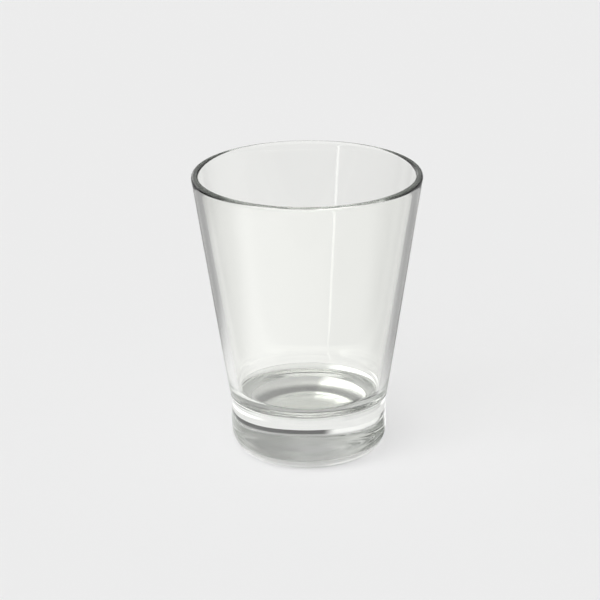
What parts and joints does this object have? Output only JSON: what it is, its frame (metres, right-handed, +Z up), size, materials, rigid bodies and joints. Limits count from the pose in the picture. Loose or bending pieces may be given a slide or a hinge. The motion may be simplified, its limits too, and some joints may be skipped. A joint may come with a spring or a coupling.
{
  "type": "tumbler",
  "caption": "Clear glass drinking tumbler: a conical bowl with a rounded lip, fused at a grooved seam to a heavy, waisted foot with a rounded lower edge.",
  "frame": {"origin": "middle of the base, on the surface that the tumbler stands on", "axes": "+Z up along the axis of revolution, from the foot to the lip; X and Y lie in the table plane"},
  "size_m": [0.082, 0.082, 0.104],
  "materials": {
    "clear_glass": "clear colourless soda-lime glass with a faint grey-green tint in the thick foot, fire-polished"
  },
  "bodies": {
    "root": {"bowl": "clear_glass", "foot": "clear_glass"}
  },
  "joints": []
}
